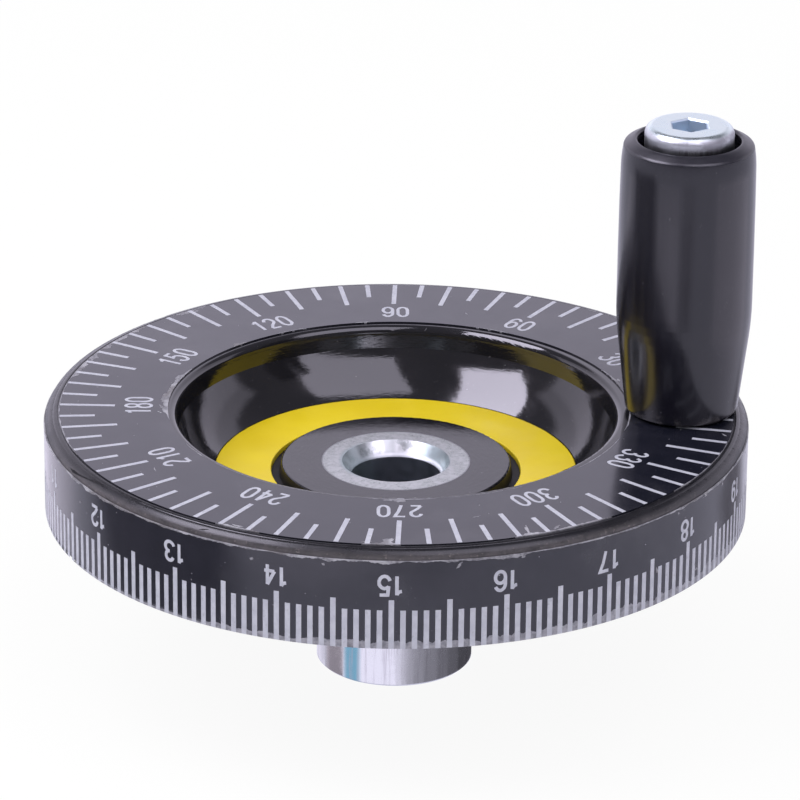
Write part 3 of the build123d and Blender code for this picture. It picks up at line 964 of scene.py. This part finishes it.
def screw():
    """The CAD screw with the fuller round that its head shows, and true normals on it."""
    mesh = nodes["handle_screw"].data.copy()
    mesh.name = "screw_body"
    piece = add_object("screw_body", mesh)
    axis = Vector((HANDLE_X, 0))
    slack = HEAD_SLACK / 5
    tilts = {}
    for vertex in mesh.vertices:
        out = vertex.co.xy - axis
        across = out.length - (HEAD_RADIUS - HEAD_CAD_ROUND)
        up = vertex.co.z - (HEAD_TOP_Z - HEAD_CAD_ROUND)
        if across < -slack or up < -slack or abs(hypot(across, up) - HEAD_CAD_ROUND) > HEAD_SLACK:
            continue
        tilt = atan2(up, across)
        reach = HEAD_RADIUS - HEAD_ROUND + HEAD_ROUND * cos(tilt)
        out.normalize()
        tilts[vertex.index] = (out.copy(), tilt)
        place = axis + out * reach
        vertex.co = (place.x, place.y, HEAD_TOP_Z - HEAD_ROUND * (1 - sin(tilt)))
    mesh.update()
    normals = [Vector(corner.vector) for corner in mesh.corner_normals]
    for face in mesh.polygons:
        if all(mesh.loops[i].vertex_index in tilts for i in face.loop_indices):
            for loop in face.loop_indices:
                out, tilt = tilts[mesh.loops[loop].vertex_index]
                normals[loop] = Vector((out.x * cos(tilt), out.y * cos(tilt), sin(tilt)))
    mesh.normals_split_custom_set(normals)
    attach(piece, "wheel")
    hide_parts("handle_screw")
    return piece


def dress(piece, material):
    piece.data.materials.clear()
    piece.data.materials.append(material)


# ---- stage, light and camera ----

CENTRE = Vector((0, 0, FACE_Z))
LIGHT_DISTANCE = 1.2
LAMP_SIZE = 0.8 * LIGHT_DISTANCE
REFLECTED_TINT = (0.98, 0.93, 1.12)  # the room that polished faces show is a little violet


def direction(azimuth, elevation):
    a, e = radians(azimuth), radians(elevation)
    return Vector((cos(e) * cos(a), cos(e) * sin(a), sin(e)))


def card(name, corners, strength, faces=None, shares=None):
    """A flat card that only reflections see; shares, one for each corner, thin it out to nothing."""
    thing = add_faces(name, corners, faces or [range(len(corners))])
    mesh = thing.data
    n = Nodes(name)
    n.tree.nodes.remove(n.shader)
    shown = n.made("Emission", {"Color": REFLECTED_TINT, "Strength": strength})
    if shares:
        mesh.attributes.new("share", "FLOAT", "POINT").data.foreach_set("value", shares)
        share = n.made("Attribute", {}, "Fac", attribute_name="share")
        shown = n.blend(share, n.made("BsdfTransparent", {}), shown)
    n.join(shown, n.end.inputs["Surface"])
    mesh.materials.append(n.owner)
    for ray in ("camera", "diffuse", "shadow", "transmission", "volume_scatter"):
        setattr(thing, "visible_" + ray, False)


def soft_box(name, corners, radiance, glow):
    """A square lamp that gives the light, and its bright front, which only reflections see."""
    card(name + "_front", [CENTRE + direction(*corner) * LIGHT_DISTANCE for corner in corners], glow)
    way = sum((direction(*corner) for corner in corners), Vector()).normalized()
    data = bpy.data.lights.new(name, "AREA")
    data.shape = "SQUARE"
    data.size = LAMP_SIZE
    data.energy = radiance * pi * LAMP_SIZE ** 2
    lamp = add_object(name, data)
    lamp.location = CENTRE + way * LIGHT_DISTANCE
    lamp.rotation_mode = "QUATERNION"
    lamp.rotation_quaternion = way.to_track_quat("Z", "Y")
    lamp.visible_camera = False
    lamp.visible_glossy = False


AMBIENT = 0.45  # the even light of the room
ROOM_DARK = 0.2  # the room beyond the backdrop, as polished faces show it
# Edges and slants of the backdrop, by the direction looked in: value from, to, and brightness there.
BACKDROP_TOP = (0.62, 0.54)
BACKDROP_SIDE = (0.02, 0.14)
BACKDROP_FALL = (0.34, 0.43, 1.26, 0.9)
BACKDROP_SLANT = (-0.09, 0.09, 1.07, 0.95)
HORIZON = (0.02, -0.02)


def world():
    """White behind everything the camera sees; a white backdrop on the far side for reflections."""
    n = Nodes(bpy.data.worlds.new("studio"))
    scene.world = n.owner
    x, y, z = n.axes(n.made("TexCoord", {}, "Generated"))
    lit = n.times(n.ramp(z, *BACKDROP_TOP), n.ramp(y, *BACKDROP_SIDE), n.ramp(z, *BACKDROP_FALL),
                  n.ramp(x, *BACKDROP_SLANT))
    backdrop = n.maths("MAXIMUM", lit, n.ramp(z, *HORIZON))
    reflected = n.sum(n.times(backdrop, 1 - ROOM_DARK), ROOM_DARK)
    camera_ray, mirror = n.rays()
    strength = n.between(camera_ray, n.between(mirror, AMBIENT, reflected), 1.0)
    n.join(n.mix(mirror, (1, 1, 1), REFLECTED_TINT), n.shader.inputs["Color"])
    n.join(strength, n.shader.inputs["Strength"])


FLOOR_RADIUS = 4.0
FLOOR_SIDES = 96
FLOOR_WHITE = 0.93  # share of plain white in the floor that the camera sees
FLOOR_EVEN = 0.88  # and of an even tone in the floor that polished faces show
FLOOR_MIRRORED = (0.80, 0.78, 0.98)  # that tone


def floor():
    """Pale paper, made an even white for the camera and an even pale violet for polished faces."""
    outline = [direction(360 * i / FLOOR_SIDES, 0) * FLOOR_RADIUS for i in range(FLOOR_SIDES)]
    ground = add_faces("floor", outline, [range(FLOOR_SIDES)])
    n = Nodes("floor_paper")
    n.start(n.cloud(3, 2, 0.3, 0.7), (0.93, 0.93, 0.93), (0.95, 0.95, 0.95))
    dress(ground, n.set(roughness=1.0, specular_ior_level=0.0))
    camera_ray, mirror = n.rays()
    seen = n.maths("MAXIMUM", camera_ray, mirror)
    white = n.made("Emission", {"Color": n.mix(camera_ray, FLOOR_MIRRORED, (1, 1, 1))})
    share = n.sum(n.times(seen, FLOOR_EVEN), n.times(camera_ray, FLOOR_WHITE - FLOOR_EVEN))
    n.join(n.blend(share, n.shader.outputs[0], white), n.end.inputs["Surface"])


CAMERA_LENS = 226.86  # millimetres, for a sensor 36 wide
CAMERA_AZIMUTH = -90.626  # degrees
CAMERA_ELEVATION = 22.578
CAMERA_ROLL = 0.564
CAMERA_DISTANCE = 895.1 * MM  # from the middle of the face
CAMERA_TARGET = (0.666 * MM, 3.079 * MM, FACE_Z)


def camera():
    """The photograph's camera, fitted to the scale marks."""
    data = bpy.data.cameras.new("camera")
    data.sensor_width = 36
    data.lens = CAMERA_LENS
    data.clip_start = 0.05
    data.clip_end = 20
    eye = add_object("camera", data)
    position = CENTRE + direction(CAMERA_AZIMUTH, CAMERA_ELEVATION) * CAMERA_DISTANCE
    ahead = (Vector(CAMERA_TARGET) - position).normalized()
    right = ahead.cross(Vector((0, 0, 1))).normalized()
    level = Matrix((right, right.cross(ahead), -ahead)).transposed().to_4x4()
    roll = Matrix.Rotation(radians(CAMERA_ROLL), 4, "Z")
    eye.matrix_world = Matrix.Translation(position) @ level @ roll
    scene.camera = eye


# ---- making it ----

camera()
world()
floor()
soft_box("key_box", ((195, 24), (229, 42), (138, 73), (138, 53)), 3.4, 8.4)
soft_box("fill_box", ((270, 37), (324, 21), (6, 66), (222, 83)), 1.9, 2.75)


def pool(name, outline, soft, strength, height):
    """A light or dark pool on the floor, in millimetres, that fades out beyond its outline."""
    points = [Vector(p) * MM for p in outline]
    count = len(points)
    beyond = []
    for i, point in enumerate(points):
        before = (point - points[i - 1]).normalized()
        after = (points[(i + 1) % count] - point).normalized()
        along = (before + after).normalized()
        beyond.append(point + Vector((along.y, -along.x)) * soft * MM / max(MITRE_LEAST, along.dot(after)))
    corners = [(p.x, p.y, height * MM) for p in points + beyond]
    faces = [tuple(range(count))]
    faces += [(i, i + count, (i + 1) % count + count, (i + 1) % count) for i in range(count)]
    card(name, corners, strength, faces, [1.0] * count + [0.0] * count)


# Uneven light on the floor, which only reflections see: outline, anticlockwise, fade, brightness, height.
pool("floor_left_dark", [(-94, -90), (-108, -54), (-118, -27), (-150, -3), (-190, 30), (-350, 105),
                         (-350, -200), (-142, -124)], 24, 0.22, 1.0)
pool("floor_front_light", [(-124, -132), (-160, -168), (-40, -250), (-12, -190), (-60, -160)], 26, 1.3, 0.8)
pool("floor_front_dark", [(8, -178), (20, -260), (80, -270), (50, -180)], 30, 0.5, 0.6)
pool("floor_right_light", [(160, -90), (290, -210), (380, 0), (300, 120), (180, 52), (175, -20)], 30, 1.2,
     0.8)
pool("floor_back_dark", [(104, 34), (122, 40), (138, 72), (120, 80), (106, 60)], 16, 0.3, 0.7)
pool("floor_back_light", [(-96, 118), (-190, 125), (-200, 82), (-140, 52), (-112, 34), (-84, 56)], 22, 1.25,
     0.7)

HUB_CARD_REACH = 45 * MM
HUB_CARD_HEIGHT = 0.3 * MM
HUB_CARD_PARTS = 6
HUB_CARD_START = 1.01  # where a card begins, in radii of the hub


def hub_card(name, start, end, strength):
    """A card on the floor that the hub's side shows the camera between two azimuths of the hub."""
    inner, outer = [], []
    height = Vector((0, 0, HUB_CARD_HEIGHT))
    for i in range(HUB_CARD_PARTS + 1):
        angle = start + (end - start) * i / HUB_CARD_PARTS
        foot = direction(angle, 0) * BUSH_RADIUS
        inner.append(foot * HUB_CARD_START + height)
        outer.append(foot + direction(2 * angle - 270, 0) * HUB_CARD_REACH + height)
    card(name, outer + inner[::-1], strength)


# What the hub's side reflects: start and end azimuth on the hub, and brightness.
HUB_SURROUND = ((180, 206, 0.95), (206, 213, 0.6), (213, 228, 0.42), (228, 271, 1.15), (271, 275, 0.9),
                (275, 279, 0.68), (279, 284, 0.48), (284, 292, 0.36), (292, 303, 0.27), (303, 313, 0.2),
                (313, 325, 0.14), (325, 360, 0.08))
for index, (start, end, strength) in enumerate(HUB_SURROUND):
    hub_card(f"card_hub_{index}", start, end, strength)

ink = print_ink()
film_pieces = (
    (printed("face_ticks", face_ticks()), ink), (printed("face_numbers", face_numbers()), ink),
    (printed("rim_ticks", rim_ticks()), ink), (printed("rim_numbers", rim_numbers()), ink),
    (film_wear(), film_torn()), (film_haze(), film_grey()),
    (edge_bead(), lacquer()), (edge_gouges(), lacquer_dull()))
for piece, material in film_pieces:
    dress(piece, material)

FAR = 1.0  # metres, beyond the part
# Where the outer edge and the groove round the boss lie: two radii and two heights each.
OUTER_EDGE = ((RIM_RADIUS - FILM - RIM_ROUND - 0.1 * MM, FAR), (RIM_TOP_Z - 0.1 * MM, FAR))
BOSS_GROOVE = ((BOSS_RADIUS - 0.2 * MM, BOSS_RADIUS + 1.9 * MM),
               (BOSS_TOP_Z - 8 * MM, BOSS_TOP_Z - 0.2 * MM))
film_skin = film()
wheel_body = moulding()
dress(wheel_body, phenolic())
finish_faces(wheel_body, phenolic_worn(), *OUTER_EDGE)
finish_faces(wheel_body, phenolic_dull(), *BOSS_GROOVE)
dress(grip(), grip_plastic())
dress(nodes["face_dial"], film_skin)
dress(nodes["rim_scale"], film_skin)
dress(nodes["accent_ring"], ring_yellow())
dress(nodes["hub_bush"], hub_steel())
dress(nodes["handle_insert"], insert_steel())
dress(screw(), screw_zinc())

scene.view_settings.view_transform = "Standard"
